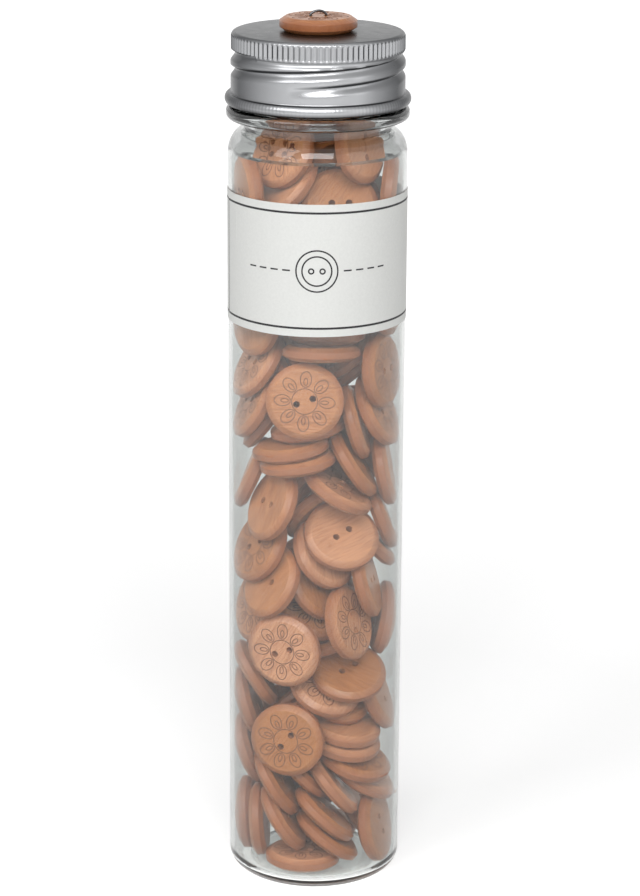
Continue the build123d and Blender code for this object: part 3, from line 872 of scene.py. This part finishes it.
class BOTTLE_OT_cap(bpy.types.Operator):
    """Drawn metal cap: knurled band, waist, two rolled thread grooves and a rolled lower edge"""

    bl_idname = "bottle.cap"
    bl_label = "Cap"

    def execute(self, context):
        settings = context.scene.bottle_cap
        top, bottom = CAP_HIGH.z, CAP_LOW.z
        roll, clearance, step, slope, lip = settings.roll * MM, 0.05, 0.1, 2.0, 0.5
        skirt = CAP_HIGH.x - roll - clearance
        band, roll_top = skirt - step, bottom + 2 * roll
        knurl_low = top - settings.edge * MM - settings.knurl_height * MM
        corners = [
            (0, top), (band, top), (band, knurl_low), (skirt, knurl_low - slope), (skirt, roll_top),
            (skirt + roll, roll_top), (skirt + roll, bottom), (band, bottom), (band, bottom + lip),
        ]
        bm = outline(corners, {1: settings.edge * MM, 4: 0.3, 5: 0.98 * roll, 6: 0.98 * roll, 7: 0.15}, 6)
        divide(bm, 0.25, skirt / 2)
        lathe(bm, 5 * settings.knurls)
        slot_low, slot_high, slot_run_in, slot_run_out = knurl_low - 0.2, top - 0.5, 0.4, 0.5
        waist, reach = knurl_low - 0.9, settings.waist_reach * MM
        for vert in bm.verts:
            radius, height, bearing = math.hypot(vert.co.x, vert.co.y), vert.co.z, bearing_of(vert)
            if radius < skirt - 1.0:
                continue
            inward = 0.0
            if slot_low < height < slot_high:
                ends = min(1.0, (height - slot_low) / slot_run_in, (slot_high - height) / slot_run_out)
                inward += settings.knurl_depth * MM * ends * (0.5 - 0.5 * math.cos(settings.knurls * bearing))
            if abs(height - waist) < reach:
                inward += settings.waist_depth * MM * math.cos(math.pi * (height - waist) / (2 * reach)) ** 2
            if roll_top - 0.4 < height < knurl_low:
                inward = max(inward, groove_depth_at(bearing, height, settings))
            if height < roll_top and radius > skirt + 0.4 * roll:
                inward += settings.rib * MM * (0.5 - 0.5 * math.cos(1.5 * settings.knurls * bearing))
            push(vert, (radius - inward) / radius)
        bmesh.ops.recalc_face_normals(bm, faces=bm.faces)
        bmesh.ops.solidify(bm, geom=bm.faces[:], thickness=settings.wall * MM)
        metal = material("satin_metal", metal_material, settings.metal, settings.slant_shade, 400.0, 0.27, 0.33)
        finish_piece("cap_shell", bm, "cap", [metal], ["cap"], crease=0.9)
        return {"FINISHED"}


class BOTTLE_OT_liner(bpy.types.Operator):
    """Foam liner disc inside the cap, with a rounded edge and a shallow pocket for the wire's ends"""

    bl_idname = "bottle.liner"
    bl_label = "Liner"

    def execute(self, context):
        settings = context.scene.bottle_cap
        low, high, edge = LINER_LOW.z, LINER_HIGH.z, LINER_HIGH.x
        pocket, floor, taper = settings.pocket * MM, high - settings.pocket_depth * MM, 0.2
        corners = [(0, low), (edge, low), (edge, high), (pocket, high), (pocket - taper, floor), (0, floor)]
        bm = outline(corners, {1: 0.3, 2: 0.3}, 4)
        lathe(bm, 72)
        foam = material("foam_liner", paper_material, settings.liner, 0.8)
        finish_piece("cap_seal", bm, "liner", [foam], ["cap_liner"])
        return {"FINISHED"}


class BOTTLE_OT_cap_button(bpy.types.Operator):
    """Engraved button that lies on the cap"""

    bl_idname = "bottle.cap_button"
    bl_label = "Cap button"

    def execute(self, context):
        settings = context.scene.bottle_buttons
        bm = bmesh.new()
        place = button_place(islands(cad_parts["cap_button"])[0], settings.hole_spacing * MM)
        add_button(bm, button_mesh(settings, 64, 5, 16, engraved=True), place, np.random.default_rng(2))
        finish_piece("cap_button_turned", bm, "cap", wood_materials(), ["cap_button"])
        return {"FINISHED"}


class BOTTLE_OT_tie(bpy.types.Operator):
    """Round wire staple that ties the button to the cap"""

    bl_idname = "bottle.tie"
    bl_label = "Tie wire"

    def execute(self, context):
        settings = context.scene.bottle_cap
        radius = settings.wire_diameter * MM / 2
        leg = context.scene.bottle_buttons.hole_spacing * MM / 2
        place = button_place(islands(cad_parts["cap_button"])[0], leg * 2)
        spin = Matrix.Rotation(math.atan2(place[1][0], place[0][0]), 3, "Z")
        reach, bend = leg + settings.wire_tail * MM, 0.5
        tail, arch = TIE_LOW.z + radius, TIE_HIGH.z - radius - bend
        curve = bpy.data.curves.new("tie_line", "CURVE")
        curve.dimensions = "3D"
        line = curve.splines.new("NURBS")
        side = [
            (reach, tail), (leg + bend, tail), (leg, tail + 0.2 * bend), (leg, tail + 2 * bend),
            (leg, arch - 2 * bend), (0.8 * leg, arch - 0.2 * bend),
        ]
        route = [(-across, height) for across, height in side] + [(0, arch + 0.8 * bend)] + side[::-1]
        line.points.add(len(route) - 1)
        for point, (across, height) in zip(line.points, route):
            point.co = (*(spin @ Vector((across, 0, height))), 1)
        line.order_u, line.use_endpoint_u = 3, True
        curve.bevel_depth, curve.bevel_resolution, curve.resolution_u = radius, 4, 8
        curve.use_fill_caps = True
        holder = bpy.data.objects.new("tie_line", curve)
        bm = bmesh.new()
        bm.from_mesh(bpy.data.meshes.new_from_object(holder))
        bpy.data.objects.remove(holder)
        tidy_faces(bm)
        steel = material("bright_wire", metal_material, settings.wire, settings.wire, 2500.0, 0.12, 0.25)
        finish_piece("cap_tie", bm, "cap", [steel], ["cap_wire"])
        return {"FINISHED"}


# Stage


def area_light(name, place, target, size, power):
    """A soft rectangular light aimed at a point."""
    data = bpy.data.lights.new(name, "AREA")
    data.shape, data.size, data.size_y, data.energy = "RECTANGLE", size[0], size[1], power
    light = bpy.data.objects.new(name, data)
    light.location = place
    light.rotation_mode = "QUATERNION"
    light.rotation_quaternion = (Vector(target) - Vector(place)).to_track_quat("-Z", "Y")
    bpy.context.scene.collection.objects.link(light)


class BOTTLE_OT_stage(bpy.types.Operator):
    """Camera at the photograph's place, pale floor, white surroundings and soft lights"""

    bl_idname = "bottle.stage"
    bl_label = "Stage"

    def execute(self, context):
        scene = context.scene
        settings = scene.bottle_stage
        data = bpy.data.cameras.new("camera")
        data.lens, data.sensor_width = settings.lens, 36.0
        data.clip_start, data.clip_end = 0.01, 20.0
        camera = bpy.data.objects.new("camera", data)
        scene.collection.objects.link(camera)
        camera.matrix_world = (
            Matrix.Translation(settings.camera_place)
            @ Matrix.Rotation(math.pi / 2 - settings.pitch, 4, "X")
            @ Matrix.Rotation(settings.roll, 4, "Z")
        )
        scene.camera = camera
        scene.view_settings.view_transform = "Standard"

        world = bpy.data.worlds.new("studio")
        scene.world = world
        world.use_nodes = True
        tree = world.node_tree
        strength = spread(tree, seen_ray(tree), 0.0, 1.0, settings.world_light, 1.0)
        tree.links.new(strength, tree.nodes["Background"].inputs["Strength"])
        tree.nodes["Background"].inputs["Color"].default_value = (1, 1, 1, 1)

        bm = bmesh.new()
        bmesh.ops.create_circle(bm, cap_ends=True, radius=settings.floor_radius, segments=64)
        mesh = bpy.data.meshes.new("floor")
        bm.to_mesh(mesh)
        bm.free()
        floor = bpy.data.objects.new("floor", mesh)
        scene.collection.objects.link(floor)
        pale, tree, shader = new_material("pale_floor")
        shader.inputs["Base Color"].default_value = (*settings.floor, 1)
        shader.inputs["Roughness"].default_value = 0.9
        shader.inputs["Emission Color"].default_value = (1, 1, 1, 1)
        place = put(tree, "ShaderNodeTexCoord").outputs["Object"]
        away = put(tree, "ShaderNodeVectorMath", {0: place}, operation="LENGTH").outputs["Value"]
        glow = spread(
            tree, away, settings.floor_near, settings.floor_far, settings.floor_low, settings.floor_high
        )
        added = put(tree, "ShaderNodeMath", {0: seen_ray(tree), 1: glow}, operation="MULTIPLY")
        tree.links.new(added.outputs[0], shader.inputs["Emission Strength"])
        mesh.materials.append(pale)

        area_light("key_left", (-0.65, -0.6, 0.85), (0, 0, 0.11), (0.45, 0.7), 3.4)
        area_light("fill_right", (0.8, -0.55, 0.45), (0, 0, 0.11), (0.45, 0.8), 1.0)
        area_light("front_top", (0.0, -1.05, 0.85), (0, 0, 0.08), (0.85, 0.5), 10.0)
        area_light("top", (0.0, 0.1, 1.0), (0, 0, 0.1), (0.7, 0.7), 1.0)
        return {"FINISHED"}


OPERATORS = (
    BOTTLE_OT_stage, BOTTLE_OT_buttons, BOTTLE_OT_bottle, BOTTLE_OT_label, BOTTLE_OT_cap, BOTTLE_OT_liner,
    BOTTLE_OT_cap_button, BOTTLE_OT_tie,
)
SETTINGS = {
    "bottle_buttons": ButtonSettings,
    "bottle_bottle": BottleSettings,
    "bottle_label": LabelSettings,
    "bottle_cap": CapSettings,
    "bottle_stage": StageSettings,
}


class BOTTLE_PT_pieces(bpy.types.Panel):
    """Lists the pieces and their settings"""

    bl_idname = "BOTTLE_PT_pieces"
    bl_label = "Bottle of buttons"
    bl_space_type = "VIEW_3D"
    bl_region_type = "UI"
    bl_category = "Buttons"

    def draw(self, context):
        for operator in OPERATORS:
            self.layout.operator(operator.bl_idname)
        for name, group in SETTINGS.items():
            box = self.layout.box()
            box.label(text=group.__doc__)
            for setting in group.__annotations__:
                box.prop(getattr(context.scene, name), setting)


def register():
    """Adds the settings, operators and panel to Blender."""
    for group in SETTINGS.values():
        bpy.utils.register_class(group)
    for operator in OPERATORS:
        bpy.utils.register_class(operator)
    bpy.utils.register_class(BOTTLE_PT_pieces)
    for name, group in SETTINGS.items():
        setattr(bpy.types.Scene, name, PointerProperty(type=group))


def unregister():
    """Takes them out again."""
    for name in SETTINGS:
        delattr(bpy.types.Scene, name)
    bpy.utils.unregister_class(BOTTLE_PT_pieces)
    for operator in reversed(OPERATORS):
        bpy.utils.unregister_class(operator)
    for group in SETTINGS.values():
        bpy.utils.unregister_class(group)


def main():
    """Builds everything."""
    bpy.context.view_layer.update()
    register()
    for name in ("stage", "buttons", "bottle", "label", "cap", "liner", "cap_button", "tie"):
        getattr(bpy.ops.bottle, name)()


if __name__ == "__main__":
    main()
